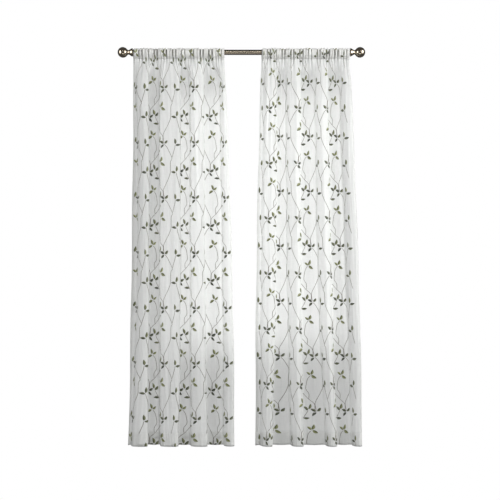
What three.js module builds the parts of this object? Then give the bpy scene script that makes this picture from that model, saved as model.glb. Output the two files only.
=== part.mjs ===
// A pair of sheer voile curtains, gathered by their rod pockets on one round metal rod with
// a turned ball finial at each end.
//
// Millimetres. +X runs along the rod, +Z is up, and the room is towards -Y.
// The origin is on the rod's axis, halfway between the tips of the finials.
//
// Each curtain is one closed sheet. Its top goes up the front of the rod, over it and down
// behind, and is stitched to itself below: that loop is the rod pocket. Below the stitching
// the cloth hangs in a few deep folds whose right edges lap over the hollow beside them.

import * as THREE from 'three';

// ---- the rod and its finials ----
const ROD_RADIUS = 14;
const TIP_REACH = 665;           // from the middle to the tip of either finial
const SEAT_GAP = 0.3;            // between pieces that touch
const ROUND_SIDES = 24;          // sides of everything turned

// Finial sizes, measured along its axis from the mouth of the socket outwards.
const SOCKET_DEPTH = 16;
const MOUTH_RADIUS = 21.5;       // the flared rim of the socket
const WAIST_RADIUS = 11;
const BEAD_RADIUS = 17;
const BALL_RADIUS = 28;
const FINIAL_LENGTH = 81;
const ROD_REACH = TIP_REACH - FINIAL_LENGTH + SOCKET_DEPTH - SEAT_GAP;

// ---- the cloth ----
const CLOTH = 1.6;               // thickness of the single cloth
const HEM_CLOTH = 2.8;           // thickness where the bottom hem is turned up
const STITCHING = -37;           // height of the stitching that closes the rod pocket
const HEM_EDGE = -2112;          // bottom edge
const HEM_DEPTH = 72;
const GATHERS = 30;              // small gathers of each curtain along the rod
const GATHER_HEIGHT = 11;        // how far a gather stands out from the rod
const GATHER_LENGTH = 80;        // how far down it takes a gather to fade
const FOLDS_FORMED = -170;       // height at which the main folds have fully formed
const LEAN = -5;                 // the hanging cloth's mean distance in front of the axis
const TURN = 8;                  // how far a fold's front rolls back under its edge
const WALL = 7;                  // how far behind a fold's rise its hollow ends
const POCKET_SLACK = 2;          // how much wider the pocket is than the rod at its sides
const POCKET_LOWER = { out: 14.5, height: -20 };

// Heights at which the hanging cloth is shaped, from the stitching down to the edge.
const HEIGHTS = [
  STITCHING, -60, -85, -112, -140, FOLDS_FORMED, -290, -520, -820, -1130, -1440, -1740,
  HEM_EDGE + HEM_DEPTH + 3, HEM_EDGE + HEM_DEPTH, HEM_EDGE,
];

// The main folds of each curtain, from left to right. A fold comes steeply forward out of
// the hollow at `rise`, runs across to its right edge at `edge`, and laps over the next
// hollow. Both are places along the rod at the heading, half way down and at the hem. `out`
// and `back` are how far the front and the hollow before it lie from the mean. The last
// edge is the curtain's own side edge, which has no hollow behind it.
const LEFT_CURTAIN = {
  side: [-580, -590, -608],
  folds: [
    { rise: [-569, -556, -590], edge: [-498, -494, -502], out: 27, back: 18 },
    { rise: [-440, -437, -437], edge: [-331, -325, -336], out: 28, back: 26 },
    { rise: [-277, -274, -271], edge: [-199, -195, -182], out: 27, back: 22 },
    { rise: [-121, -102, -94], edge: [-92, -52, -37], out: 22, back: 24 },
  ],
};
const RIGHT_CURTAIN = {
  side: [108, 82, 76],
  folds: [
    { rise: [126, 110, 105], edge: [187, 186, 165], out: 26, back: 12 },
    { rise: [244, 250, 268], edge: [320, 320, 334], out: 26, back: 24 },
    { rise: [400, 411, 456], edge: [462, 480, 511], out: 29, back: 21 },
    { rise: [524, 561, 596], edge: [579, 624, 647], out: 23, back: 24 },
  ],
};

// ---- finishes ----
const voile = new THREE.MeshStandardMaterial({
  color: 0xf1f1ec, roughness: 0.9, metalness: 0, transparent: true, opacity: 0.62,
});
const bronze = new THREE.MeshStandardMaterial({
  color: 0x8a7a66, roughness: 0.32, metalness: 0.9,
});

// A smooth value between the three values of a row: at the heading, half way and at the hem.
function between([heading, middle, hem], drop) {
  const near = heading * (1 - drop) * (1 - 2 * drop);
  const half = middle * 4 * drop * (1 - drop);
  return near + half + hem * drop * (2 * drop - 1);
}

// The plan of the folds at one height: a smooth line through the turning points of each
// fold, which are a steep wall, a front that bulges slightly, the rolled edge and the
// shallower hollow beyond it. `drop` runs from 0 at the rod to 1 at the hem. Y is negative
// towards the room.
function foldLine({ side, folds }, drop) {
  const points = [];
  const add = (x, y) => points.push(new THREE.Vector2(x, y));
  add(between(side, drop), folds[0].back * 0.55);
  folds.forEach((fold, i) => {
    const rise = between(fold.rise, drop);
    const edge = between(fold.edge, drop);
    const front = -fold.out;
    add(rise - WALL, fold.back);
    add(rise, 0);
    add(rise + WALL * 1.5, front * 0.68);
    add((rise + edge) / 2, front);
    add(edge - TURN, front * 0.93);
    if (i === folds.length - 1) {
      add(edge, front * 0.45);
      return;
    }
    const next = folds[i + 1];
    const nextWall = between(next.rise, drop) - WALL;
    add(edge, front * 0.5);
    add(edge - TURN, next.back * 0.3);
    add(edge, next.back);
    add((edge + nextWall) / 2 + 2, next.back * 0.66);
  });
  return new THREE.SplineCurve(points);
}

// Fraction of the curtain's width at which column i of the cloth lies. Columns come in
// pairs, a crest and a valley of a small gather, and the gathers are unevenly wide.
const COLUMNS = 2 * GATHERS;
function widthAt(i) {
  const inside = i > 0 && i < COLUMNS;
  const wander = inside ? 0.22 * Math.sin(2.3 * i) + 0.16 * Math.sin(0.71 * i + 1) : 0;
  return (i + wander) / COLUMNS;
}

// How far column i stands out as a gather: 0 in a valley, up to 1 on a crest. About one
// valley in three stays shallow, so its two gathers run together into one broad puff.
function gatherAt(i) {
  const valley = Math.sin(1.07 * i + 0.3) > 0.45 ? 0.6 : 0.05;
  return i % 2 === 0 ? valley : 0.8 + 0.2 * Math.sin(3.7 * i);
}

// The cloth's middle surface below the stitching: for each height, a row of plan points.
function hangingRows(curtain) {
  const middle = foldLine(curtain, 0.5);
  middle.arcLengthDivisions = 800;
  const first = between(curtain.side, 0);
  const last = between(curtain.folds.at(-1).edge, 0);
  return HEIGHTS.map((height) => {
    const drop = height / HEM_EDGE;
    const line = foldLine(curtain, drop);
    const formed = THREE.MathUtils.smoothstep(-height, -STITCHING, -FOLDS_FORMED);
    const gathered = Math.exp((height - STITCHING) / GATHER_LENGTH);
    const row = [];
    for (let i = 0; i <= COLUMNS; i++) {
      const fold = line.getPoint(middle.getUtoTmapping(widthAt(i)));
      const evenX = THREE.MathUtils.lerp(first, last, widthAt(i));
      const gatherY = -(gatherAt(i) - 0.5) * GATHER_HEIGHT * gathered;
      row.push({
        x: THREE.MathUtils.lerp(evenX, fold.x, formed),
        y: LEAN + fold.y * formed + gatherY,
        z: height,
      });
    }
    return row;
  });
}

// The pocket's section in column i, from the front of the stitching over the rod to its
// back: points on the inside of the loop and the direction that is outwards there.
function pocketSection(i) {
  const puff = gatherAt(i) * GATHER_HEIGHT;
  const lower = (sign) => ({
    y: sign * (POCKET_LOWER.out + puff * 1.1), z: POCKET_LOWER.height, outY: sign, outZ: 0,
  });
  const points = [lower(-1)];
  for (let degrees = -90; degrees <= 90; degrees += 30) {
    const angle = THREE.MathUtils.degToRad(degrees);
    const outY = Math.sin(angle);
    const outZ = Math.cos(angle);
    const snug = ROD_RADIUS + SEAT_GAP + 0.1;
    const radius = snug + POCKET_SLACK * outY * outY + puff * (0.65 + 0.75 * outY * outY);
    points.push({ y: radius * outY, z: radius * outZ, outY, outZ });
  }
  points.push(lower(1));
  return points;
}

// One curtain as a closed body. Every column has an outer ring (up the front, over the
// pocket, down the back) and an inner ring (the inside of the pocket).
function curtainGeometry(curtain) {
  const rows = hangingRows(curtain);
  const bottomUp = rows.map((_, k) => rows.length - 1 - k);
  const positions = [];
  const outer = [];
  const inner = [];
  const add = (x, y, z) => positions.push(x, y, z) / 3 - 1;

  for (let i = 0; i <= COLUMNS; i++) {
    const faces = rows.map((row) => {
      const before = row[Math.max(i - 1, 0)];
      const after = row[Math.min(i + 1, COLUMNS)];
      const length = Math.hypot(after.x - before.x, after.y - before.y);
      const { x, y, z } = row[i];
      const half = (z <= HEM_EDGE + HEM_DEPTH ? HEM_CLOTH : CLOTH) / 2;
      const offX = ((after.y - before.y) / length) * half;
      const offY = (-(after.x - before.x) / length) * half;
      return { front: [x + offX, y + offY, z], back: [x - offX, y - offY, z] };
    });
    const seam = rows[0][i];
    const section = pocketSection(i);
    const front = bottomUp.map((k) => add(...faces[k].front));
    const loop = section.map((p) => add(seam.x, p.y + p.outY * CLOTH, p.z + p.outZ * CLOTH));
    const back = bottomUp.map((k) => add(...faces[k].back)).reverse();
    outer.push([...front, ...loop, ...back]);
    inner.push([
      add(seam.x, seam.y, STITCHING + CLOTH),
      ...section.map((p) => add(seam.x, p.y, p.z)),
    ]);
  }

  const triangles = [];
  const quad = (a, b, c, d) => triangles.push(a, b, c, a, c, d);
  const band = (left, right, facingIn) => {
    left.forEach((a, j) => {
      const next = (j + 1) % left.length;
      if (facingIn) quad(a, left[next], right[next], right[j]);
      else quad(a, right[j], right[next], left[next]);
    });
  };
  for (let i = 0; i < COLUMNS; i++) {
    band(outer[i], outer[i + 1], false);
    band(inner[i], inner[i + 1], true);
  }

  // The cut edges at the two sides: the thickness of the cloth and of the pocket's loop.
  const side = (outside, inside, flip) => {
    const face = (...ring) => {
      const [a, b, c, d] = flip ? ring.reverse() : ring;
      triangles.push(a, b, c);
      if (d !== undefined) triangles.push(a, c, d);
    };
    const last = outside.length - 1;
    const seamFront = rows.length - 1;
    for (let j = 0; j < seamFront; j++) {
      face(outside[last - j], outside[j], outside[j + 1], outside[last - j - 1]);
    }
    face(outside[last - seamFront], outside[seamFront], inside[0]);
    inside.forEach((point, k) => {
      const next = inside[(k + 1) % inside.length];
      face(point, outside[seamFront + k], outside[seamFront + k + 1], next);
    });
  };
  side(outer[0], inner[0], false);
  side(outer[COLUMNS], inner[COLUMNS], true);

  const geometry = new THREE.BufferGeometry();
  geometry.setAttribute('position', new THREE.Float32BufferAttribute(positions, 3));
  geometry.setIndex(triangles);
  geometry.computeVertexNormals();
  return geometry;
}

// A turned piece along +X from a profile of [distance along the axis, radius] pairs.
function turned(profile) {
  const points = profile.map(([along, radius]) => new THREE.Vector2(radius, along));
  return new THREE.LatheGeometry(points, ROUND_SIDES).rotateZ(-Math.PI / 2);
}

function rodGeometry() {
  return turned([[-ROD_REACH, 0], [-ROD_REACH, ROD_RADIUS], [ROD_REACH, ROD_RADIUS], [ROD_REACH, 0]]);
}

// The finial's profile, outside first: tip of the ball, bead, waist, flared socket, and
// then the blind hole that takes the rod's end.
function finialGeometry() {
  const ballCentre = FINIAL_LENGTH - BALL_RADIUS;
  const socket = ROD_RADIUS + SEAT_GAP;
  const profile = [];
  for (let degrees = 0; degrees <= 140; degrees += 20) {
    const angle = THREE.MathUtils.degToRad(degrees);
    profile.push([ballCentre + BALL_RADIUS * Math.cos(angle), BALL_RADIUS * Math.sin(angle)]);
  }
  profile.push([32, BEAD_RADIUS], [27.5, BEAD_RADIUS], [25, WAIST_RADIUS], [20, WAIST_RADIUS + 1.5]);
  profile.push([13, 17], [5, MOUTH_RADIUS], [0, MOUTH_RADIUS], [0, socket], [SOCKET_DEPTH, socket]);
  profile.push([SOCKET_DEPTH, 0]);
  return turned(profile.reverse());
}

function piece(name, geometry, material) {
  const mesh = new THREE.Mesh(geometry, material);
  mesh.name = name;
  return mesh;
}

const curtains = new THREE.Group();
curtains.add(piece('rod', rodGeometry(), bronze));

const finialRight = piece('finial_right', finialGeometry(), bronze);
finialRight.position.x = TIP_REACH - FINIAL_LENGTH;
const finialLeft = piece('finial_left', finialGeometry(), bronze);
finialLeft.rotation.z = Math.PI;
finialLeft.position.x = FINIAL_LENGTH - TIP_REACH;
curtains.add(finialRight, finialLeft);

curtains.add(piece('curtain_left', curtainGeometry(LEFT_CURTAIN), voile));
curtains.add(piece('curtain_right', curtainGeometry(RIGHT_CURTAIN), voile));

export default curtains;
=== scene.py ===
# %% [markdown]
# # Sheer voile curtains on a rod
# Two embroidered voile curtains hang by their rod pockets from one metal rod with a ball
# finial at each end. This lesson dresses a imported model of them. The model gives the frame:
# sizes, places and which node is which. Every new piece is worked out with numpy in the
# same frame, in metres: +X along the rod, +Z up, the room towards -Y, and the origin on the
# rod's axis.

# %% Load the frame
import math

import bpy
import numpy as np
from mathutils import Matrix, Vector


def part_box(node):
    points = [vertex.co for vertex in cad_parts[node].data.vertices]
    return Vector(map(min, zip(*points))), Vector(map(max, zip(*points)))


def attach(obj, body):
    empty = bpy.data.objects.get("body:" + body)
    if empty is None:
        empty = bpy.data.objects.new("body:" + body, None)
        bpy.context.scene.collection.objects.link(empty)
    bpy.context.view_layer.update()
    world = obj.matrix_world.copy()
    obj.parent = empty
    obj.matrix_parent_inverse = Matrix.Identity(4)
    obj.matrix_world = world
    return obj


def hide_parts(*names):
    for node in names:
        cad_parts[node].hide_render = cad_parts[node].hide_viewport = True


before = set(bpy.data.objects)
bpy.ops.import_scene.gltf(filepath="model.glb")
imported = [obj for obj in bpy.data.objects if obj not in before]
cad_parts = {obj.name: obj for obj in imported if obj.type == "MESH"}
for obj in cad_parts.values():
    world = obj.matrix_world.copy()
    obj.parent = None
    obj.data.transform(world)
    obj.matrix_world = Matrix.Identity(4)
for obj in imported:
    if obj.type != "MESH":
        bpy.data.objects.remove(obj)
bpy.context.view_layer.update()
print("nodes:", sorted(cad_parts))

# %% [markdown]
# ## Sizes taken from the model
# The rod's radius, the reach of the finials and the hem's height are read from the nodes'
# boxes, so the dressed pieces keep to the solids if these change. The rest are the cloth's
# own sizes, as a curtain maker would note them.

# %% Sizes
MM = 0.001
rod_low, rod_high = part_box("rod")
ROD_RADIUS = (rod_high[2] - rod_low[2]) / 2
finial_low, finial_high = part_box("finial_right")
TIP_REACH = finial_high[0]
FINIAL_LENGTH = finial_high[0] - finial_low[0]
HEM_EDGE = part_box("curtain_left")[0][2]

CLOTH = 1.6 * MM              # room that the solids keep for the cloth
STITCHING = -37 * MM          # height of the stitching that closes the rod pocket
HEM_DEPTH = 72 * MM           # the bottom hem, turned up once behind the cloth
SIDE_HEM = 13 * MM            # the side hems, turned back
PANEL_WIDTH = 813 * MM        # finished width of one curtain, flat
FRONT_LENGTH = STITCHING - HEM_EDGE
print(f"rod {ROD_RADIUS * 2:.4f} m thick, front of the cloth {FRONT_LENGTH:.3f} m long")

# %% [markdown]
# ## A mesh from arrays
# A grid of points is the simplest sheet: the rows and columns say which four points make
# each face. Writing whole arrays with foreach_set is many times faster than adding faces
# one by one, and it keeps the shape in the formulas.


# %% Mesh helpers
def grid_faces(rows, columns, wrap=False):
    """Quads of a grid of rows x columns points; with wrap, the last column joins the first."""
    index = np.arange(rows * columns).reshape(rows, columns)
    if wrap:
        index = np.concatenate([index, index[:, :1]], axis=1)
    corners = (index[:-1, :-1], index[:-1, 1:], index[1:, 1:], index[1:, :-1])
    return np.stack([c.ravel() for c in corners], axis=1)


def new_piece(name, points, quads, uv=None, tone=None):
    """A mesh object from points (N, 3) and quads (M, 4), smooth, with a UV map and a point tone."""
    mesh = bpy.data.meshes.new(name)
    mesh.vertices.add(len(points))
    mesh.vertices.foreach_set("co", np.asarray(points, dtype=np.float32).ravel())
    mesh.loops.add(quads.size)
    mesh.loops.foreach_set("vertex_index", quads.ravel().astype(np.int32))
    mesh.polygons.add(len(quads))
    mesh.polygons.foreach_set("loop_start", np.arange(0, quads.size, 4, dtype=np.int32))
    mesh.polygons.foreach_set("loop_total", np.full(len(quads), 4, dtype=np.int32))
    mesh.polygons.foreach_set("use_smooth", np.ones(len(quads), dtype=bool))
    if uv is not None:
        layer = mesh.uv_layers.new(name="flat")
        layer.data.foreach_set("uv", np.asarray(uv, dtype=np.float32)[quads.ravel()].ravel())
    if tone is not None:
        shade = mesh.attributes.new("tone", "FLOAT", "POINT")
        shade.data.foreach_set("value", np.asarray(tone, dtype=np.float32).ravel())
    mesh.update()
    mesh.validate()
    piece = bpy.data.objects.new(name, mesh)
    bpy.context.scene.collection.objects.link(piece)
    print(f"{name}: {len(points)} points, {2 * len(quads)} triangles")
    return piece


# %% [markdown]
# ## Shader maths as Python
# A material is a small sum worked out for every point of a surface. Wrapping a socket in a
# class that knows + - and * lets the sum be read as one, in place of a page of node links.


# %% Shader helper
class Wire:
    """A value in a material. Arithmetic on it adds Math nodes; plain numbers join as they are."""

    def __init__(self, finish, socket):
        self.finish = finish
        self.socket = socket

    def maths(self, operation, first, second=None):
        values = [first] if second is None else [first, second]
        return self.finish.node("ShaderNodeMath", {"operation": operation}, values)

    def __add__(self, other):
        return self.maths("ADD", self, other)

    def __sub__(self, other):
        return self.maths("SUBTRACT", self, other)

    def __rsub__(self, other):
        return self.maths("SUBTRACT", other, self)

    def __mul__(self, other):
        return self.maths("MULTIPLY", self, other)

    def sine(self):
        return self.maths("SINE", self)

    def above(self, edge):
        return self.maths("GREATER_THAN", self, edge)

    def clamped(self):
        return self.maths("MINIMUM", self.maths("MAXIMUM", self, 0.0), 1.0)

    __radd__ = __add__
    __rmul__ = __mul__


class Finish:
    """A material whose nodes are added by one method."""

    def __init__(self, name):
        self.material = bpy.data.materials.new(name)
        self.material.use_nodes = True
        self.material.node_tree.nodes.clear()

    def node(self, kind, settings=None, values=None, out=0):
        """Adds a node: its settings first, then a value or a Wire for each socket named or numbered."""
        made = self.material.node_tree.nodes.new(kind)
        for key, setting in (settings or {}).items():
            if key == "stops":
                ramp = made.color_ramp
                while len(ramp.elements) < len(setting):
                    ramp.elements.new(0.5)
                for element, (position, colour) in zip(ramp.elements, setting):
                    element.position = position
                    element.color = colour
            else:
                setattr(made, key, setting)
        pairs = values.items() if isinstance(values, dict) else enumerate(values or [])
        for key, value in pairs:
            if isinstance(value, Wire):
                self.material.node_tree.links.new(value.socket, made.inputs[key])
            elif value is not None:
                made.inputs[key].default_value = value
        return Wire(self, made.outputs[out] if made.outputs else None)

    def noise(self, coordinate, scale, detail=2.0, roughness=0.5):
        values = {"Vector": coordinate, "Scale": scale, "Detail": detail, "Roughness": roughness}
        return self.node("ShaderNodeTexNoise", values=values)

    def stretched(self, coordinate, factors):
        """The coordinate multiplied by a factor on each axis."""
        return self.node("ShaderNodeMapping", values={"Vector": coordinate, "Scale": factors})

    def blend_colours(self, share, first, second):
        values = {0: share, 6: first, 7: second}
        return self.node("ShaderNodeMix", {"data_type": "RGBA"}, values, out=2)

    def surface(self, shader):
        self.node("ShaderNodeOutputMaterial", values={"Surface": shader})
        return self.material


# %% [markdown]
# ## How a gathered curtain folds
# Seen from above, the hanging cloth is one wavy line. Each main fold comes steeply forward
# out of a hollow, runs across to a rounded edge and laps over the next hollow. A few places
# along the rod for each fold, at the rod, half way down and at the hem, give its turning
# points, and a smooth curve through them gives the line at any height. Listing the folds one
# by one keeps them as uneven as on the real pair. The places are the same as in the solids.

# %% The main folds
TURN = 8                      # how far a fold's front rolls back under its edge, mm
WALL = 7                      # how far behind a fold's rise its hollow ends, mm
LEFT_CURTAIN = {
    "side": (-580, -590, -608),
    "folds": [
        {"rise": (-569, -556, -590), "edge": (-498, -494, -502), "out": 27, "back": 18},
        {"rise": (-440, -437, -437), "edge": (-331, -325, -336), "out": 28, "back": 26},
        {"rise": (-277, -274, -271), "edge": (-199, -195, -182), "out": 27, "back": 22},
        {"rise": (-121, -102, -94), "edge": (-92, -52, -37), "out": 22, "back": 24},
    ],
}
RIGHT_CURTAIN = {
    "side": (108, 82, 76),
    "folds": [
        {"rise": (126, 110, 105), "edge": (187, 186, 165), "out": 26, "back": 12},
        {"rise": (244, 250, 268), "edge": (320, 320, 334), "out": 26, "back": 24},
        {"rise": (400, 411, 456), "edge": (462, 480, 511), "out": 29, "back": 21},
        {"rise": (524, 561, 596), "edge": (579, 624, 647), "out": 23, "back": 24},
    ],
}


def between(places, drop):
    """The parabola through three places: drop 0 at the rod, 0.5 half way down, 1 at the hem."""
    heading, middle, hem = places
    near = heading * (1 - drop) * (1 - 2 * drop)
    half = middle * 4 * drop * (1 - drop)
    return near + half + hem * drop * (2 * drop - 1)


def turning_points(curtain, drop):
    """The plan's turning points at each drop: x (N, points) and y (points), metres."""
    folds = curtain["folds"]
    points = [(between(curtain["side"], drop), folds[0]["back"] * 0.55)]
    for i, fold in enumerate(folds):
        rise = between(fold["rise"], drop)
        edge = between(fold["edge"], drop)
        front = -fold["out"]
        points += [(rise - WALL, fold["back"]), (rise, 0.0), (rise + WALL * 1.5, front * 0.68)]
        points += [((rise + edge) / 2, front), (edge - TURN, front * 0.93)]
        if i == len(folds) - 1:
            points += [(edge, front * 0.45)]
        else:
            hollow = folds[i + 1]["back"]
            next_wall = between(folds[i + 1]["rise"], drop) - WALL
            points += [(edge, front * 0.5), (edge - TURN, hollow * 0.3), (edge, hollow)]
            points += [((edge + next_wall) / 2 + 2, hollow * 0.66)]
    x = np.stack([np.broadcast_to(p[0], np.shape(drop)) for p in points], axis=-1)
    y = np.array([p[1] for p in points])
    return x * MM, y * MM


def smooth_curve(values, position):
    """Catmull-Rom: a smooth curve through values (N, points) at position (N), 0 to 1 end to end."""
    last = values.shape[-1] - 1
    place = np.clip(position, 0, 1) * last
    i = np.minimum(np.floor(place).astype(int), last)
    w = place - i
    rows = np.arange(len(place))
    p0, p1, p2, p3 = (values[rows, np.clip(i + k, 0, last)] for k in (-1, 0, 1, 2))
    v0 = (p2 - p0) / 2
    v1 = (p3 - p1) / 2
    return (2 * p1 - 2 * p2 + v0 + v1) * w**3 + (3 * p2 - 3 * p1 - 2 * v0 - v1) * w**2 + v0 * w + p1


def fold_line(curtain, drop, position):
    """Plan of the folds: x and y at each drop and at each position along the curve."""
    x, y = turning_points(curtain, drop)
    y = np.broadcast_to(y, x.shape)
    return smooth_curve(x, position), smooth_curve(y, position)


# The cloth's width is shared out along the curve half way down, where the folds are plain.
CURVE_STEPS = np.linspace(0, 1, 4001)
for curtain in (LEFT_CURTAIN, RIGHT_CURTAIN):
    x, y = fold_line(curtain, np.full(len(CURVE_STEPS), 0.5), CURVE_STEPS)
    steps = np.hypot(np.diff(x), np.diff(y))
    curtain["length_along"] = np.concatenate([[0], np.cumsum(steps)]) / steps.sum()
    curtain["ends"] = (between(curtain["side"], 0) * MM, between(curtain["folds"][-1]["edge"], 0) * MM)
    print(f"folds take up {steps.sum():.3f} m of cloth over {x[-1] - x[0]:.3f} m of rod")

# %% [markdown]
# ## Gathers and creases
# On the rod the cloth is bunched into some thirty small gathers. They are deepest at the
# stitching and die away below it as they run together into the main folds. Softer ridges
# and troughs stay in the faces of the folds: these are the creases that a hand placed there
# when the curtain was drawn open. Each is a row of a table: where it lies across the cloth
# at its top and bottom, how high it stands and how wide it is.

# %% Gathers and creases
COLUMNS = 60                  # a crest and a valley for each of thirty gathers
GATHER_HEIGHT = 11 * MM
GATHER_LENGTH = 80 * MM
FOLDS_FORMED = -170 * MM
LEAN = -5 * MM                # the hanging cloth lies a little in front of the rod's axis

columns = np.arange(COLUMNS + 1)
inside = (columns > 0) & (columns < COLUMNS)
drift = 0.22 * np.sin(2.3 * columns) + 0.16 * np.sin(0.71 * columns + 1)
COLUMN_AT = (columns + inside * drift) / COLUMNS
VALLEY = np.where(np.sin(1.07 * columns + 0.3) > 0.45, 0.6, 0.05)    # about one in three stays shallow
CREST = np.where(columns % 2 == 0, VALLEY, 0.8 + 0.2 * np.sin(3.7 * columns))
FADE = 1.0 + 0.45 * np.sin(1.3 * columns + 0.6)
PINCH = 0.40 + 0.12 * np.sin(2.9 * columns + 0.4)     # half-width of a valley, in columns

CREASE_START = 0.09           # metres down the cloth over which a crease rises
CREASE_END = 0.35             # and over which it dies away

# across: millimetres of flat cloth from the left side; height in metres; lift in mm.
CREASES = {
    "curtain_left": [
        {"across": (23, 28), "height": (-0.04, -0.75), "lift": 3.8, "half_width": 7},
        {"across": (137, 119), "height": (-0.04, -1.20), "lift": 4.0, "half_width": 9},
        {"across": (219, 237), "height": (-0.06, -2.20), "lift": 6.2, "half_width": 9},
        {"across": (265, 280), "height": (-0.05, -0.90), "lift": 4.4, "half_width": 10},
        {"across": (368, 341), "height": (-0.05, -1.40), "lift": 3.8, "half_width": 12},
        {"across": (320, 316), "height": (-0.90, -2.20), "lift": -3.1, "half_width": 14},
        {"across": (461, 478), "height": (-0.20, -2.20), "lift": 3.1, "half_width": 10},
        {"across": (533, 546), "height": (-0.04, -1.10), "lift": 4.0, "half_width": 9},
        {"across": (699, 683), "height": (-0.06, -2.20), "lift": 4.5, "half_width": 11},
        {"across": (749, 755), "height": (-0.30, -2.20), "lift": -3.5, "half_width": 12},
    ],
    "curtain_right": [
        {"across": (64, 55), "height": (-0.04, -1.30), "lift": 3.8, "half_width": 9},
        {"across": (131, 119), "height": (-0.04, -0.80), "lift": 3.8, "half_width": 9},
        {"across": (228, 241), "height": (-0.05, -2.20), "lift": -3.8, "half_width": 10},
        {"across": (320, 312), "height": (-0.10, -2.20), "lift": 3.8, "half_width": 12},
        {"across": (361, 376), "height": (-0.04, -1.20), "lift": 4.0, "half_width": 9},
        {"across": (483, 469), "height": (-0.04, -1.00), "lift": 4.0, "half_width": 9},
        {"across": (539, 555), "height": (-0.20, -2.20), "lift": 3.2, "half_width": 11},
        {"across": (608, 597), "height": (-0.05, -1.30), "lift": 3.8, "half_width": 9},
        {"across": (683, 699), "height": (-0.40, -2.20), "lift": 3.8, "half_width": 12},
        {"across": (734, 747), "height": (-0.05, -1.60), "lift": 3.8, "half_width": 10},
    ],
}


def smooth_step(value, low, high):
    """0 below low, 1 above high, and 3t^2 - 2t^3 between."""
    t = np.clip((value - low) / (high - low), 0, 1)
    return t * t * (3 - 2 * t)


def eased(table, share):
    """A value for each column, carried from column to column by half a cosine wave."""
    place = np.interp(share, COLUMN_AT, columns)
    i = np.minimum(np.floor(place).astype(int), COLUMNS - 1)
    ease = (1 - np.cos(np.pi * (place - i))) / 2
    return table[i] + (table[i + 1] - table[i]) * ease


def gather_wave(share):
    """The gathers just below the stitching, 0 to 1, with valleys a little broader than crests."""
    return eased(CREST, share) ** 1.3


def puffed(share):
    """The gathers as they sit on the rod: broad puffs with a narrow pinched valley between each two."""
    place = np.interp(share, COLUMN_AT, columns)
    valley = 2 * np.round(place / 2).astype(int)
    crest = np.clip(2 * np.floor(place / 2).astype(int) + 1, 1, COLUMNS - 1)
    open_share = 1 - np.exp(-(((place - valley) / PINCH[valley]) ** 2))
    roundness = 1 - 0.22 * (place - crest) ** 2
    return CREST[valley] + (CREST[crest] * roundness - CREST[valley]) * open_share


def crease_lift(name, across, height):
    """Sum of the creases: lift x a bell curve across x a soft start and end down the cloth."""
    total = np.zeros_like(across)
    for crease in CREASES[name]:
        top, bottom = crease["height"]
        along = np.clip((height - top) / (bottom - top), 0, 1)
        centre = crease["across"][0] + (crease["across"][1] - crease["across"][0]) * along
        centre = centre + 2.5 * np.sin(7 * height + 0.05 * crease["across"][0])
        bell = np.exp(-(((across / MM - centre) / crease["half_width"]) ** 2))
        starts = smooth_step(-height, -top, -top + CREASE_START)
        fades = smooth_step(-height, -bottom - CREASE_END, -bottom)
        total += crease["lift"] * MM * bell * (starts * (1 - fades))
    return total


CRINKLES = {"curtain_left": 3, "curtain_right": 11}   # a different set for each panel


def crinkle(name, across, height):
    """Fine crinkles left by washing: slanting waves, each about a fiftieth as high as it is long."""
    rng = np.random.default_rng(CRINKLES[name])
    total = np.zeros_like(across)
    for length in (8, 10, 12, 15, 18, 22, 27, 33):
        slant, phase, swell = rng.normal(0, 0.05), rng.random() * 6.28, rng.random() * 6.28
        wave = np.sin(2 * np.pi * (across + slant * height) / (length * MM) + phase)
        comes_and_goes = 0.5 + 0.5 * np.sin(height * (3.0 + 40 / length) + across * 9 + swell)
        total += length * MM / 50 * wave * comes_and_goes
    return total


# %% [markdown]
# ## The cloth as one surface
# A curtain is one flat panel, so every point of it can be named by two lengths on the cut
# cloth: how far across, and how far down from the stitching. Negative lengths down run up
# over the rod inside the pocket, and lengths past the bottom edge turn up behind as the hem.
# One function takes those two lengths to the point where the cloth hangs. The sheet, its
# stitching and its embroidery all use it, so they can't part from one another.


# %% The surface
def hanging(name, across, height):
    """Below the stitching: an even spread blends into the folds, plus gathers and creases."""
    curtain = CURTAINS[name]
    share = across / PANEL_WIDTH
    drop = height / HEM_EDGE
    fold_x, fold_y = fold_line(curtain, drop, np.interp(share, curtain["length_along"], CURVE_STEPS))
    first, last = curtain["ends"]
    even_x = first + (last - first) * share
    formed = smooth_step(-height, -STITCHING, -FOLDS_FORMED)
    reach = GATHER_LENGTH * eased(FADE, share)
    gathered = np.exp(np.minimum(height - STITCHING, 0) / reach)
    waver = formed * 1.6 * MM * np.sin(9.5 * height + 11 * share)
    x = even_x + (fold_x - even_x) * formed + waver
    y = LEAN + fold_y * formed - (gather_wave(share) - 0.4) * GATHER_HEIGHT * gathered
    y = y - crease_lift(name, across, height) - crinkle(name, across, height)
    return np.stack([x, y, height], axis=-1)


POCKET_SLACK = 2 * MM         # how much wider the pocket is than the rod at its sides
POCKET_LOWER = (14.5 * MM, -20 * MM)
SEAT_GAP = 0.4 * MM
LAYER = 1.5 * MM              # between the cloth and the hem turned up behind it
SIDE_LAYER = 0.45 * MM        # between the cloth and its side hem


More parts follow.
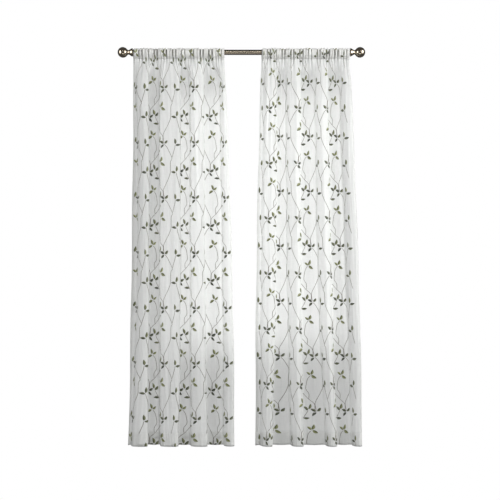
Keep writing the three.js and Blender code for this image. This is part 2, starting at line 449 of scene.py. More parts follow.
def pocket_section(name, across):
    """The pocket's section from the stitching over the rod to its back: y and z (N, points)."""
    puff = puffed(across / PANEL_WIDTH) * GATHER_HEIGHT
    front = hanging(name, across, np.full_like(across, STITCHING))[:, 1]
    half = CLOTH / 2
    out = POCKET_LOWER[0] + puff * 1.1 + half
    low = np.full_like(puff, POCKET_LOWER[1])
    stitched = np.full_like(puff, STITCHING)
    points = [(front, stitched), (-out, low)]
    for degrees in range(-90, 91, 30):
        angle = math.radians(degrees)
        side = math.sin(angle) ** 2
        radius = ROD_RADIUS + SEAT_GAP + POCKET_SLACK * side + puff * (0.65 + 0.75 * side) + half
        points.append((radius * math.sin(angle), radius * math.cos(angle)))
    points += [(out, low), (front + LAYER, stitched)]
    return np.stack([p[0] for p in points], axis=-1), np.stack([p[1] for p in points], axis=-1)


CURTAINS = {"curtain_left": LEFT_CURTAIN, "curtain_right": RIGHT_CURTAIN}
LOOP_STEPS = np.linspace(0, 1, 401)
middle_section = pocket_section("curtain_left", np.full(len(LOOP_STEPS), PANEL_WIDTH * 0.5))
loop = [smooth_curve(part, LOOP_STEPS) for part in middle_section]
loop_steps = np.hypot(np.diff(loop[0]), np.diff(loop[1]))
LOOP_LENGTH = loop_steps.sum()
LOOP_SHARE = np.concatenate([[0], np.cumsum(loop_steps)]) / LOOP_LENGTH
CUT_LENGTH = LOOP_LENGTH + FRONT_LENGTH + HEM_DEPTH


def middle_surface(name, across, down):
    """The cloth's own face at flat lengths across and down: pocket, hanging front or turned-up hem."""
    turned = FRONT_LENGTH - np.abs(FRONT_LENGTH - down)
    points = hanging(name, across, STITCHING - np.maximum(turned, 0))
    on_rod = down < 0
    if on_rod.any():
        y, z = pocket_section(name, across[on_rod])
        position = np.interp(-down[on_rod] / LOOP_LENGTH, LOOP_SHARE, LOOP_STEPS)
        points[on_rod, 1] = smooth_curve(y, position)
        points[on_rod, 2] = smooth_curve(z, position)
    return points


PROBE = 1.0 * MM


def outward(name, across, down):
    """The unit normal on the outside of the hanging cloth, from two short steps on it."""
    west = middle_surface(name, np.maximum(across - PROBE, 0), down)
    east = middle_surface(name, np.minimum(across + PROBE, PANEL_WIDTH), down)
    upper = middle_surface(name, across, down - PROBE)
    lower = middle_surface(name, across, down + PROBE)
    normal = np.cross(east - west, upper - lower)
    normal[down > FRONT_LENGTH] *= -1
    return normal / np.maximum(np.linalg.norm(normal, axis=1, keepdims=True), 1e-12)


def cloth_point(name, across, down, proud=0.0):
    """A point of the cut cloth as it hangs, raised by proud on its face. Hems lie behind the cloth."""
    kept = np.clip(across, 0, PANEL_WIDTH)
    side_turn = np.abs(across - kept) > 0
    across_folded = np.clip(2 * kept - across, 0, PANEL_WIDTH)
    hem_turn = down > FRONT_LENGTH
    normal = outward(name, across_folded, down)
    behind = np.where(side_turn, SIDE_LAYER, 0.0)
    behind = np.where(hem_turn, LAYER - behind, behind)
    facing = np.where(hem_turn, -1.0, 1.0) * np.where(side_turn, -1.0, 1.0)
    points = middle_surface(name, across_folded, down)
    return points + normal * (facing * proud - behind)[:, None]


# %% [markdown]
# ## The two sheets
# Each curtain is cut as one sheet. Columns lie close enough to round every gather, and rows
# are closer near the rod, where the shape changes quickly, than on the long plain fall. The
# side hems and the bottom hem are part of the same sheet, turned back on it.

# %% The sheets
ACROSS = np.concatenate([
    np.linspace(-SIDE_HEM, -0.4 * MM, 4),
    np.linspace(0, PANEL_WIDTH, 489),
    np.linspace(PANEL_WIDTH + 0.4 * MM, PANEL_WIDTH + SIDE_HEM, 4),
])
DOWN = np.concatenate([
    np.linspace(-LOOP_LENGTH, -2 * MM, 34),
    np.linspace(0, 0.3, 40),
    np.linspace(0.3, FRONT_LENGTH - HEM_DEPTH - 0.004, 102)[1:],
    np.linspace(FRONT_LENGTH - HEM_DEPTH, FRONT_LENGTH, 8),
    np.linspace(FRONT_LENGTH + 0.5 * MM, FRONT_LENGTH + HEM_DEPTH, 8),
])


def bunching(across, down):
    """How tightly the cloth is gathered, 0 to 1: by the puffs on the rod, evening out to 0.6 below. The
    voile reads it for its density and for where its valleys are painted dark as painted shade.
    """
    share = np.clip(across / PANEL_WIDTH, 0, 1)
    fade = np.exp(-np.maximum(down, 0) / (GATHER_LENGTH / 2))
    below = 0.6 + (gather_wave(share) - 0.56) * 0.66 * fade
    spindle = 0.6 + 0.4 * np.sin(np.pi * np.clip(-down / (LOOP_LENGTH / 2), 0, 1))
    return np.where(down < -2 * MM, 1 - (1 - puffed(share)) * spindle, below)


sheets = {}
for name in CURTAINS:
    down, across = [part.ravel() for part in np.meshgrid(DOWN, ACROSS, indexing="ij")]
    points = cloth_point(name, across, down)
    uv = np.stack([across, -down], axis=1)
    faces = grid_faces(len(DOWN), len(ACROSS))[:, ::-1]
    sheet_name = name.replace("curtain", "voile")
    sheets[name] = new_piece(sheet_name, points, faces, uv, bunching(across, down))

# %% [markdown]
# ## Embroidered leaves
# The motif is an ordinary trailing vine with sprigs of small pointed leaves. It repeats in a
# half drop: each sprig group stands again, mirrored, half a repeat across and half a repeat
# down. A chart of one group, in millimetres of flat cloth from the middle of its first
# sprig, is enough. Each leaf is a row: where it starts, where its tip lies, how wide it is
# and its thread, from 0 for the darkest to 1 for the yellowest green. Satin stitch stands up
# from the cloth in two sloping halves that meet in a groove, so a leaf is a small closed form
# with a domed face.

# %% The chart of one group
REPEAT_ACROSS = 246
REPEAT_DOWN = 295
LEAVES = [
    # the first sprig, worked in the dark thread
    {"base": (-3, 1), "tip": (-25, 15), "width": 13, "tone": 0.10},
    {"base": (-2, -3), "tip": (-18, -22), "width": 12, "tone": 0.05},
    {"base": (3, 2), "tip": (18, 20), "width": 13, "tone": 0.25},
    # the pair at its right
    {"base": (58, -2), "tip": (56, 28), "width": 12, "tone": 0.45},
    {"base": (61, -8), "tip": (86, -3), "width": 13, "tone": 0.15},
    # the group at its left
    {"base": (-32, 14), "tip": (-24, 43), "width": 13, "tone": 0.60},
    {"base": (-36, 7), "tip": (-53, 27), "width": 13, "tone": 0.30},
    {"base": (-55, -36), "tip": (-29, -33), "width": 12, "tone": 0.20},
    # the upper sprig, worked in the yellower thread
    {"base": (-103, 52), "tip": (-112, 79), "width": 13, "tone": 0.85},
    {"base": (-100, 50), "tip": (-83, 66), "width": 11, "tone": 0.95},
    {"base": (-105, 48), "tip": (-127, 32), "width": 14, "tone": 0.75},
]
STEMS = [
    [(0, 0), (15, -18), (29, -46), (42, -77), (35, -94), (34, -126), (33, -156), (22, -188),
     (7, -219), (-5, -246), (-4, -272), (0, -294)],
    [(-102, 49), (-88, 31), (-82, 6), (-79, -26), (-92, -50), (-91, -80)],
    [(-35, 8), (-44, -12), (-56, -34), (-73, -58), (-91, -80), (-107, -95), (-116, -110), (-115, -146)],
    [(58, -4), (56, -22), (49, -48), (42, -75)],
]
PHASE = {"curtain_left": (292, 163), "curtain_right": (200, 126)}   # first sprig: across, down
LOWEST = (CUT_LENGTH - LOOP_LENGTH) / MM - 3    # embroidery ends 3 mm short of the turned-up edge

# A leaf's own grid: 9 places along it and 5 across.
ALONG = np.linspace(0, 1, 9)
SIDEWAYS = np.linspace(-1, 1, 5)
LEAF_RAISE = 0.9 * MM
LEAF_BACK = -0.45 * MM


def group_places(name):
    """Middles of all groups on one panel, and 1 or -1 for plain or mirrored (N, 3), millimetres."""
    start_across, start_down = PHASE[name]
    steps = np.stack(np.meshgrid(np.arange(-4, 6), np.arange(-4, 10), indexing="ij"), -1).reshape(-1, 2)
    plain = np.array([start_across, start_down]) + steps * [REPEAT_ACROSS, REPEAT_DOWN]
    dropped = plain + [REPEAT_ACROSS / 2, REPEAT_DOWN / 2]
    hands = np.repeat([1.0, -1.0], len(plain))
    return np.column_stack([np.concatenate([plain, dropped]), hands])


def leaf_arrays(name):
    """Base, tip (mm across, down) and width of every leaf on the cut panel, with small differences."""
    places = group_places(name)
    chart = np.array([[*leaf["base"], *leaf["tip"], leaf["width"], leaf["tone"]] for leaf in LEAVES])
    across = places[:, None, 0:1] + places[:, None, 2:3] * chart[None, :, [0, 2]]
    down = places[:, None, 1:2] - chart[None, :, [1, 3]]
    width = np.broadcast_to(chart[None, :, 4], across.shape[:2])
    ends = [across[..., 0], down[..., 0], across[..., 1], down[..., 1]]
    rows = np.stack([*ends, width], -1).reshape(-1, 5)
    rng = np.random.default_rng(7)
    rows[:, :4] += rng.normal(0, 0.5, (len(rows), 4))
    rows[:, 4] *= 1 + rng.normal(0, 0.06, len(rows))
    tone = np.clip(np.tile(chart[:, 5], len(places)) + rng.normal(0, 0.08, len(rows)), 0, 1)
    ends_across = rows[:, [0, 2]]
    ends_down = rows[:, [1, 3]]
    on_cloth = (ends_across.min(1) > 6) & (ends_across.max(1) < PANEL_WIDTH / MM - 6)
    on_cloth &= (ends_down.min(1) > -LOOP_LENGTH / MM + 4) & (ends_down.max(1) < LOWEST)
    return rows[on_cloth], tone[on_cloth]


def sew_leaves(name):
    """All leaves of a panel as closed domed forms. The half-width is w sin(pi t^0.85)^0.75, the face
    is a dome across the leaf less a groove along its middle, and the back lies behind the cloth."""
    rows, tone = leaf_arrays(name)
    base, tip = rows[:, 0:2], rows[:, 2:4]
    axis = tip - base
    length = np.linalg.norm(axis, axis=1, keepdims=True)
    axis = axis / length
    side = np.stack([-axis[:, 1], axis[:, 0]], axis=1)
    t, s = [part.ravel() for part in np.meshgrid(ALONG, SIDEWAYS, indexing="ij")]
    outline = np.maximum(np.sin(np.pi * np.clip(t, 1e-6, 1 - 1e-6) ** 0.85), 0) ** 0.75
    outline = np.maximum(outline, 0.08)
    bend = 0.06 * np.sin(np.pi * t)
    dome = outline * ((1 - s**2) ** 0.6 - 0.35 * np.exp(-((s / 0.25) ** 2)))
    lengthways = base[:, None] + axis[:, None] * (t[None, :, None] * length[:, None])
    sideways = side[:, None] * (s * outline)[None, :, None] * rows[:, 4][:, None, None] / 2
    sideways = sideways + side[:, None] * (bend[None, :, None] * length[:, None])
    flat = (lengthways + sideways) * MM
    across, down = flat[..., 0].ravel(), flat[..., 1].ravel()
    raised = np.broadcast_to(0.25 * MM + LEAF_RAISE * dome, flat.shape[:2]).ravel()
    face = cloth_point(name, across, down, raised)
    back = cloth_point(name, across, down, LEAF_BACK)
    count, each = len(rows), len(t)
    quads = grid_faces(len(ALONG), len(SIDEWAYS))
    rim = leaf_rim()
    skirt = np.stack([rim, np.roll(rim, -1), np.roll(rim, -1) + each, rim + each], axis=1)
    one = np.concatenate([quads, (quads + each)[:, ::-1], skirt[:, ::-1]])
    all_quads = (one[None] + (np.arange(count) * 2 * each)[:, None, None]).reshape(-1, 4)
    points = np.concatenate([face.reshape(count, each, 3), back.reshape(count, each, 3)], axis=1)
    local = np.stack([s, t], axis=1)
    uv = np.broadcast_to(local[None], (2 * count, each, 2)).reshape(count, 2 * each, 2)
    shade = np.repeat(tone, 2 * each)
    return points.reshape(-1, 3), all_quads, uv.reshape(-1, 2), shade


def leaf_rim():
    """Indices round the edge of one leaf's grid, in order."""
    index = np.arange(len(ALONG) * len(SIDEWAYS)).reshape(len(ALONG), len(SIDEWAYS))
    return np.concatenate([index[0, :-1], index[:-1, -1], index[-1, :0:-1], index[:0:-1, 0]])


leaves = {}
for name in CURTAINS:
    leaves[name] = new_piece(name.replace("curtain", "leaves"), *sew_leaves(name))

# %% [markdown]
# ## Embroidered stems
# The stems are a narrow stem stitch: a rounded cord of thread, thin and grey-brown. Each
# stem is a smooth line through its chart points, and a small round section is carried along
# it on the face of the cloth.

# %% The stems
STEM_STEP = 7.0               # millimetres between sections
STEM_HALF_WIDTH = 1.15
STEM_RAISE = 0.55 * MM
STEM_SEAT = 0.15 * MM         # height of the cord's middle above the cloth
SECTION = np.array([(-1.0, -0.35), (-0.75, 0.6), (0.0, 1.0), (0.75, 0.6), (1.0, -0.35), (0.0, -0.7)])


def smooth_route(points):
    """Even steps along a smooth curve through the chart points: the middle line of a stem."""
    corner = np.asarray(points, dtype=float)
    position = np.linspace(0, 1, 60 * len(points))
    shape = (len(position), len(corner))
    x, y = [smooth_curve(np.broadcast_to(corner[:, k], shape), position) for k in (0, 1)]
    travelled = np.concatenate([[0], np.cumsum(np.hypot(np.diff(x), np.diff(y)))])
    steps = np.linspace(0, travelled[-1], max(3, int(travelled[-1] / STEM_STEP) + 1))
    return np.stack([np.interp(steps, travelled, x), np.interp(steps, travelled, y)], axis=1)


def sew_stems(name):
    """Every stem of a panel as closed tubes on the cloth, drawn in to a blunt point at both ends."""
    all_points, all_quads, all_uv = [], [], []
    start = 0
    places = group_places(name)
    for stem in STEMS:
        route = smooth_route(stem)
        way = np.gradient(route, axis=0)
        way /= np.linalg.norm(way, axis=1, keepdims=True)
        across_way = np.stack([-way[:, 1], way[:, 0]], axis=1)
        n, m = len(route), len(SECTION)
        taper = np.ones(n)
        taper[[0, -1]] = 0.15
        offset = across_way[:, None] * (SECTION[None, :, 0:1] * taper[:, None, None] * STEM_HALF_WIDTH)
        flat = route[:, None] + offset
        across = places[:, None, None, 0] + places[:, None, None, 2] * flat[None, ..., 0]
        down = places[:, None, None, 1] - flat[None, ..., 1]
        on_cloth = (across.min((1, 2)) > 3) & (across.max((1, 2)) < PANEL_WIDTH / MM - 3)
        on_cloth &= (down.min((1, 2)) > -LOOP_LENGTH / MM + 3) & (down.max((1, 2)) < LOWEST)
        count = int(on_cloth.sum())
        height = SECTION[None, None, :, 1] * taper[None, :, None]
        proud = np.broadcast_to(height, (count, n, m)).ravel() * STEM_RAISE + STEM_SEAT
        points = cloth_point(name, across[on_cloth].ravel() * MM, down[on_cloth].ravel() * MM, proud)
        quads = grid_faces(n, m, wrap=True)
        ends = np.array([[0, 1, 2, 5], [2, 3, 4, 5]])
        one = np.concatenate([quads, ends[:, ::-1], ends + (n - 1) * m])
        flipped = one[:, ::-1]
        hands = places[on_cloth, 2]
        shift = (np.arange(count) * n * m)[:, None, None]
        faces = np.where((hands > 0)[:, None, None], flipped[None], one[None]) + shift + start
        travel = np.broadcast_to(np.linspace(0, n * STEM_STEP, n)[None, :, None], (count, n, m)) * MM
        round_it = np.broadcast_to(np.linspace(0, 1, m)[None, None, :], (count, n, m))
        all_points.append(points)
        all_quads.append(faces.reshape(-1, 4))
        all_uv.append(np.stack([travel.ravel(), round_it.ravel()], axis=1))
        start += len(points)
    return np.concatenate(all_points), np.concatenate(all_quads), np.concatenate(all_uv)


stems = {}
for name in CURTAINS:
    stems[name] = new_piece(name.replace("curtain", "stems"), *sew_stems(name))

# %% [markdown]
# ## Sewing
# White thread holds the pocket, the bottom hem and the side hems. At this size a machine
# stitch is a grain of thread about three millimetres long, so rows of small spindles laid
# on the cloth read as sewing from close by and vanish at a distance, as real ones do.

# %% The stitching
STITCH = 3.4 * MM
STITCH_GAP = 0.9 * MM
THREAD = 0.26 * MM


def stitch_row(start, end):
    """Middles of the stitches of one straight row on the flat cloth, and the row's direction."""
    start, end = np.array(start), np.array(end)
    count = int(np.linalg.norm(end - start) / STITCH)
    middles = start + (end - start) * ((np.arange(count) + 0.5) / count)[:, None]
    return middles, np.broadcast_to((end - start) / np.linalg.norm(end - start), middles.shape)


def sew_rows(name, rows):
    """Stitches as six-sided spindles: radius is the thread's, drawn in to a third at both ends."""
    parts = [stitch_row(*row) for row in rows]
    middles = np.concatenate([p[0] for p in parts])
    way = np.concatenate([p[1] for p in parts])
    side = np.stack([-way[:, 1], way[:, 0]], axis=1)
    half = (STITCH - STITCH_GAP) / 2
    places = np.array([-1, -0.6, 0.6, 1]) * half
    size = np.array([0.33, 1, 1, 0.33]) * THREAD
    angle = np.arange(6) * np.pi / 3
    flat = middles[:, None, None] + way[:, None, None] * places[None, :, None, None]
    flat = flat + side[:, None, None] * (size[:, None] * np.cos(angle))[None, ..., None]
    proud = np.broadcast_to(0.2 * MM + size[:, None] * np.sin(angle), flat.shape[:3])
    points = cloth_point(name, flat[..., 0].ravel(), flat[..., 1].ravel(), proud.ravel())
    tube = grid_faces(4, 6, wrap=True)
    cap = np.array([[0, 1, 2, 3], [0, 3, 4, 5]])
    one = np.concatenate([tube, cap[:, ::-1], cap + 18])[:, ::-1]
    quads = (one[None] + (np.arange(len(middles)) * 24)[:, None, None]).reshape(-1, 4)
    return points, quads


stitching = {}
for name in CURTAINS:
    hem_row = FRONT_LENGTH - HEM_DEPTH + 3 * MM
    side_inset = SIDE_HEM - 2 * MM
    rows = [
        ((0.002, 0.0), (PANEL_WIDTH - 0.002, 0.0)),
        ((0.002, hem_row), (PANEL_WIDTH - 0.002, hem_row)),
        ((side_inset, 0.01), (side_inset, FRONT_LENGTH - 0.003)),
        ((PANEL_WIDTH - side_inset, 0.01), (PANEL_WIDTH - side_inset, FRONT_LENGTH - 0.003)),
    ]
    stitching[name] = new_piece(name.replace("curtain", "stitching"), *sew_rows(name, rows))

# %% [markdown]
# ## The rod and its finials
# Both are turned metal. A profile of distance and radius, swept round the axis, is what the
# lathe does. The profile here has small rounded corners where the solid has plain ones.

# %% Turned metal
ROUND = 96


def turned(name, profile, flip=False):
    """A profile of (distance along X, radius) swept round the X axis, with both ends capped."""
    along, radius = np.array(profile).T
    angle = np.linspace(0, 2 * np.pi, ROUND, endpoint=False)
    x = np.broadcast_to(along[:, None], (len(along), ROUND))
    y = radius[:, None] * np.cos(angle)
    z = radius[:, None] * np.sin(angle)
    points = np.stack([x, y, z], axis=-1).reshape(-1, 3)
    low = np.arange(ROUND // 2 - 1)
    cap = np.stack([low, low + 1, ROUND - 2 - low, ROUND - 1 - low], axis=1)
    faces = np.concatenate([
        grid_faces(len(along), ROUND, wrap=True), cap[:, ::-1], cap + (len(along) - 1) * ROUND,
    ])
    faces = faces[:, ::-1] if flip else faces
    return new_piece(name, points, faces)


def arc(centre, radius, start, end, steps):
    """Points of a circle in the profile's plane, degrees from the +X direction."""
    angle = np.radians(np.linspace(start, end, steps))
    return [(centre[0] + radius * math.cos(a), centre[1] + radius * math.sin(a)) for a in angle]


TINY = 0.02 * MM
end = rod_high[0]
edge = 0.8 * MM
rod_profile = [(-end, TINY), (-end, ROD_RADIUS - edge), (-end + edge, ROD_RADIUS)]
rod_profile += [(x, ROD_RADIUS) for x in np.linspace(-end + 2 * edge, end - 2 * edge, 60)]
rod_profile += [(end - edge, ROD_RADIUS), (end, ROD_RADIUS - edge), (end, TINY)]
rod = turned("rod_tube", rod_profile)

BALL_RADIUS = 28 * MM
BALL_MIDDLE = FINIAL_LENGTH - BALL_RADIUS
SOCKET = ROD_RADIUS + 0.3 * MM
SOCKET_DEPTH = 16 * MM
finial_profile = [(SOCKET_DEPTH, TINY), (SOCKET_DEPTH, SOCKET), (0.0, SOCKET)]
finial_profile += arc((0.0025, 0.0195), 0.0025, 180, 60, 6)
finial_profile += [(0.0080, 0.0200), (0.0130, 0.0168), (0.0180, 0.0136), (0.0215, 0.0119)]
finial_profile += [(0.0240, 0.0112), (0.0252, 0.0118)]
finial_profile += arc((0.0290, 0.0105), 0.0042, 150, 20, 8)
finial_profile += [(0.0330, 0.0152)]
finial_profile += arc((BALL_MIDDLE, 0.0), BALL_RADIUS, 146, 0.1, 40)


def outwards(profile, sign):
    """The finial's profile moved out to its end of the rod, pointing along +X or -X."""
    return [(sign * (TIP_REACH - FINIAL_LENGTH + along), radius) for along, radius in profile]


finials = {
    "finial_right": turned("ball_finial_right", outwards(finial_profile, 1)),
    "finial_left": turned("ball_finial_left", outwards(finial_profile, -1), flip=True),
}

# %% [markdown]
# ## Voile
# Voile is a plain weave of fine hard-twisted yarn with gaps as wide as the yarn, so light
# passes between the threads and glows through them. In a render that is three shaders: a
# share that is simply open, a rough surface that reflects, and a translucent share that
# passes light on. Uneven yarn, called slub, makes the cloth a little denser in short
# streaks along both threads. Where the heading is bunched into a puff the yarns crowd
# together and it is denser still; in the valley between two puffs the rod shows through,
# and the valley's colour is painted dark grey as painted shade. Where the cloth is doubled,
# in the pocket and the bottom hem, its colour is painted whiter as painted light.

# %% The voile finish
YARN_PITCH = 0.9 * MM
THIN_YARN = (0.80, 0.81, 0.795, 1)
THICK_YARN = (0.90, 0.912, 0.895, 1)
# Painted light: the whiter colour given to doubled cloth.
DOUBLED_CLOTH_PAINTED_LIGHT = (0.94, 0.945, 0.93, 1)
# Painted shade: the dark grey blended into the valleys between puffs.
PAINTED_VALLEY_SHADE = (0.17, 0.17, 0.16, 1)


def voile_finish():
    finish = Finish("voile")
    flat = finish.node("ShaderNodeUVMap", {"uv_map": "flat"})
    warp = finish.noise(finish.stretched(flat, (900, 26, 1)), 1.0, 3.0)
    weft = finish.noise(finish.stretched(flat, (22, 800, 1)), 1.0, 3.0)
    cloud = finish.noise(finish.stretched(flat, (9, 5, 1)), 1.0, 3.0)
    axes = finish.node("ShaderNodeSeparateXYZ", values=[flat])
    across = axes
    down = Wire(finish, axes.socket.node.outputs[1])
    pocket = down.above(-0.5 * MM)
    hem = (0.0 - down).above(FRONT_LENGTH - HEM_DEPTH)
    gathered = finish.node("ShaderNodeAttribute", {"attribute_name": "tone"}, out=2)
    slub = warp * 0.5 + weft * 0.5
    density = 0.80 + (slub - 0.5) * 0.24 + (cloud - 0.5) * 0.10
    density = density + (gathered - 0.55) * 0.45 + pocket * 0.10
    turns = 2 * math.pi / YARN_PITCH
    yarn = (across * turns).sine() + (down * turns).sine()
    relief = yarn * 0.12 + slub * 1.0
    normal = finish.node(
        "ShaderNodeBump", values={"Strength": 0.25, "Distance": 0.0006, "Height": relief}
    )
    colour = finish.blend_colours(slub, THIN_YARN, THICK_YARN)
    # Painted light: the pocket and the bottom hem are painted whiter, for the light the second layer of
    # cloth sends back.
    colour = finish.blend_colours((pocket + hem) * 0.7, colour, DOUBLED_CLOTH_PAINTED_LIGHT)
    # Painted shade: the pinched valleys between puffs are blended towards dark grey.
    pinched = ((0.50 - gathered) * 2.3).clamped()
    colour = finish.blend_colours(pinched, colour, PAINTED_VALLEY_SHADE)
    cloth = finish.node("ShaderNodeBsdfPrincipled", values={
        "Base Color": colour, "Roughness": 0.85, "Specular IOR Level": 0.2, "Normal": normal,
        "Sheen Weight": 0.15, "Sheen Roughness": 0.5,
    })
    glow = finish.node("ShaderNodeBsdfTranslucent", values={"Color": colour, "Normal": normal})
    solid = finish.node("ShaderNodeMixShader", values=[0.42, cloth, glow])
    opened = finish.node("ShaderNodeBsdfTransparent")
    return finish.surface(finish.node("ShaderNodeMixShader", values=[density.clamped(), opened, solid]))


# %% [markdown]
# ## Embroidery thread
# Rayon thread lies in parallel satin stitches that slope away from the middle of a leaf.
# Each half catches the light differently, and that is painted into the colour: one half of
# a leaf is painted dark as painted shade and the other pale as a painted highlight. The
# chart's thread number runs from charcoal green to yellow green. The stem thread is
# browner and duller.


# %% Thread finishes
def leaf_finish():
    finish = Finish("leaf_thread")
    place = finish.node("ShaderNodeUVMap", {"uv_map": "flat"})
    axes = finish.node("ShaderNodeSeparateXYZ", values=[place])
    sideways = axes
    along = Wire(finish, axes.socket.node.outputs[1])
    tone = finish.node("ShaderNodeAttribute", {"attribute_name": "tone"}, out=2)
    slope = finish.node("ShaderNodeMath", {"operation": "ABSOLUTE"}, [sideways])
    stitches = ((along * 1.0 - slope * 0.35) * (2 * math.pi * 26)).sine()
    half = sideways.above(0.0)
    # Painted shade and painted highlight: one half of each leaf is painted dark and the other pale, for
    # the light each slope of satin stitch would catch.
    painted_shade_half = finish.blend_colours(tone, (0.030, 0.036, 0.022, 1), (0.110, 0.125, 0.045, 1))
    painted_highlight_half = finish.blend_colours(tone, (0.105, 0.115, 0.085, 1), (0.330, 0.345, 0.170, 1))
    colour = finish.blend_colours((half * 0.8 + 0.1 + stitches * 0.1).clamped(), painted_shade_half, painted_highlight_half)
    normal = finish.node(
        "ShaderNodeBump", values={"Strength": 0.4, "Distance": 0.0003, "Height": stitches}
    )
    return finish.surface(finish.node("ShaderNodeBsdfPrincipled", values={
        "Base Color": colour, "Roughness": 0.5, "Normal": normal, "Sheen Weight": 0.2,
    }))


def stem_finish():
    finish = Finish("stem_thread")
    place = finish.node("ShaderNodeUVMap", {"uv_map": "flat"})
    axes = finish.node("ShaderNodeSeparateXYZ", values=[place])
    twist = (axes * (2 * math.pi / (2.2 * MM))).sine()
    share = (0.5 + twist * 0.3).clamped()
    colour = finish.blend_colours(share, (0.135, 0.120, 0.098, 1), (0.215, 0.196, 0.165, 1))
    return finish.surface(finish.node("ShaderNodeBsdfPrincipled", values={
        "Base Color": colour, "Roughness": 0.65,
    }))


def sewing_finish():
    finish = Finish("sewing_thread")
    place = finish.node("ShaderNodeTexCoord", out=3)
    fuzz = finish.noise(place, 900.0)
    colour = finish.blend_colours(fuzz, (0.74, 0.74, 0.72, 1), (0.86, 0.86, 0.84, 1))
    return finish.surface(finish.node("ShaderNodeBsdfPrincipled", values={
        "Base Color": colour, "Roughness": 0.7,
    }))


# %% [markdown]
# ## Antiqued bronze
# The rod and finials are plated in a dull antiqued bronze, polished enough to mirror the
# room in dark and light bands. Fine brushing round the axis and a little handling wear
# break the mirror up.


# %% The metal finish
def bronze_finish():
    finish = Finish("antiqued_bronze")
    place = finish.node("ShaderNodeTexCoord", out=3)
    brushing = finish.noise(finish.stretched(place, (1400, 60, 60)), 1.0, 3.0)
    handling = finish.noise(place, 38.0, 4.0, 0.6)
    colour = finish.blend_colours(handling, (0.45, 0.38, 0.285, 1), (0.57, 0.50, 0.39, 1))
    rough = 0.08 + brushing * 0.08 + handling * 0.08
    normal = finish.node(
        "ShaderNodeBump", values={"Strength": 0.12, "Distance": 0.0002, "Height": brushing}
    )
    return finish.surface(finish.node("ShaderNodeBsdfPrincipled", values={
        "Base Color": colour, "Metallic": 1.0, "Roughness": rough, "Normal": normal,
    }))


# %% [markdown]
# ## Dressing the frame
# Each piece gets its finish and rides on the one body of this part, and the solid it stands
# for is hidden.

# %% Dress and hide the solids
voile = voile_finish()
leaf_thread = leaf_finish()
stem_thread = stem_finish()
sewing_thread = sewing_finish()
bronze = bronze_finish()


def dress(piece, material):
    piece.data.materials.append(material)
    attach(piece, "root")


for name in CURTAINS:
    dress(sheets[name], voile)
    dress(leaves[name], leaf_thread)
    dress(stems[name], stem_thread)
    dress(stitching[name], sewing_thread)
    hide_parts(name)
dress(rod, bronze)
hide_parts("rod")
for name, finial in finials.items():
    dress(finial, bronze)
    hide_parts(name)

# %% [markdown]
# ## Studio
# A pale floor runs up into a pale surround on every side, bright enough to print as white.
# The main light stands low at the right, nearly in line with the cloth, so it rakes across
# the folds. A broad light in front softens it, a weak fill comes from the left, and a narrow
# light above picks out the heading. Just behind the pair a light the size of a window glows
# through the voile. The surround is seen but throws no light of its own, so the folds keep
# their shadows. Four cards stand in the room for the polished metal alone to reflect.

# %% Floor and surround
FLOOR = HEM_EDGE - 0.09
SURROUND = 9.0
ROUNDING = 3.0


def surround():
    """A round floor that curves up into a wall and closes in a dome overhead: one swept profile."""
    floor = [(r, FLOOR) for r in np.linspace(0.0001, SURROUND - ROUNDING, 6)]
    curve = [
        (SURROUND - ROUNDING + ROUNDING * math.sin(a), FLOOR + ROUNDING - ROUNDING * math.cos(a))
        for a in np.linspace(0, math.pi / 2, 12)[1:]
    ]
    dome = [
        (SURROUND * math.cos(a), FLOOR + ROUNDING + SURROUND * 0.8 * math.sin(a))
        for a in np.linspace(0, math.pi / 2 - 0.01, 14)[1:]
    ]
    radius, height = np.array(floor + curve + dome).T
    angle = np.linspace(0, 2 * np.pi, 64, endpoint=False)
    x = radius[:, None] * np.cos(angle)
    y = radius[:, None] * np.sin(angle)
    z = np.broadcast_to(height[:, None], x.shape)
    points = np.stack([x, y, z], axis=-1).reshape(-1, 3)
    return new_piece("surround", points, grid_faces(len(radius), 64, wrap=True))


paper = Finish("white_paper")
paper_tone = paper.node("ShaderNodeEmission", values={"Color": (1, 1, 1, 1), "Strength": 1.0})
stage = surround()
stage.data.materials.append(paper.surface(paper_tone))
stage.visible_diffuse = False
stage.visible_glossy = False
stage.visible_transmission = False
stage.visible_shadow = False

# %% Lights
world = bpy.data.worlds.new("studio")
world.use_nodes = True
world.node_tree.nodes["Background"].inputs["Color"].default_value = (1, 1, 1, 1)
world.node_tree.nodes["Background"].inputs["Strength"].default_value = 0.10
bpy.context.scene.world = world


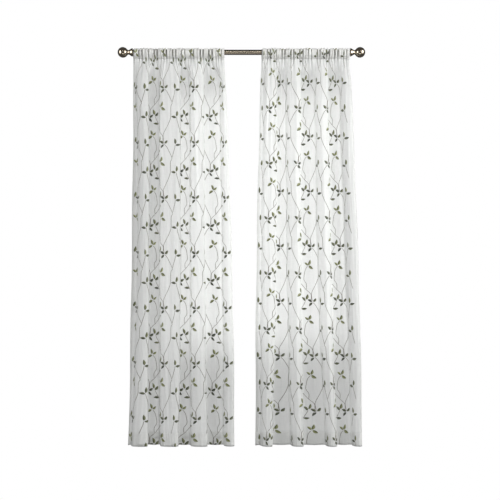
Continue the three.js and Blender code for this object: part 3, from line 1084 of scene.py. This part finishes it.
def soft_light(name, place, aim, size, power):
    """A rectangular area light at place, facing aim. The camera doesn't see it."""
    data = bpy.data.lights.new(name, "AREA")
    data.shape = "RECTANGLE"
    data.size, data.size_y = size
    data.energy = power
    lamp = bpy.data.objects.new(name, data)
    away = np.array(place) - np.array(aim)
    lamp.location = place
    lamp.rotation_euler = (
        math.atan2(math.hypot(away[0], away[1]), away[2]), 0, math.atan2(away[0], -away[1])
    )
    lamp.visible_camera = False
    bpy.context.scene.collection.objects.link(lamp)
    return lamp


MIDDLE = (0.0, 0.0, HEM_EDGE / 2)
key = soft_light("key", (3.7, -1.25, -0.2), MIDDLE, (0.9, 2.2), 118)
front = soft_light("front", (0.8, -4.1, -0.6), MIDDLE, (2.0, 2.2), 108)
heading = soft_light("heading", (0.1, -0.55, 0.36), (0.1, 0.0, 0.0), (1.4, 0.10), 2.8)
fill = soft_light("fill", (-3.4, -2.0, -0.2), MIDDLE, (1.0, 2.2), 41)
PANE = (0.11, 0.12, -0.90)
window = soft_light("window", PANE, (PANE[0], 0.0, PANE[2]), (0.96, 1.36), 4.6)
for lamp in (key, front, heading, fill, window):
    lamp.visible_glossy = False


def mirror_card(name, place, size, power):
    """A light that shows only as a bright shape in the polished metal."""
    card = soft_light(name, place, (place[0] * 0.2, 0.0, 0.0), size, power)
    card.visible_diffuse = False
    card.visible_transmission = False


mirror_card("card_right", (2.9, -1.7, 0.2), (2.0, 2.6), 95)
mirror_card("card_left", (-2.9, -1.7, 0.1), (1.4, 2.4), 52)
mirror_card("card_low", (0.0, -2.6, -2.3), (3.4, 0.9), 14)
mirror_card("card_front", (0.05, -4.6, 1.15), (0.9, 0.5), 7)

# %% Camera
camera_data = bpy.data.cameras.new("camera")
camera_data.lens = 60.3
camera_data.sensor_width = 36
camera = bpy.data.objects.new("camera", camera_data)
camera.location = (0.046, -4.5, -1.062)
camera.rotation_euler = (math.pi / 2, 0, 0)
bpy.context.scene.collection.objects.link(camera)
bpy.context.scene.camera = camera
bpy.context.scene.view_settings.view_transform = "Standard"
bpy.context.scene.cycles.transparent_max_bounces = 32
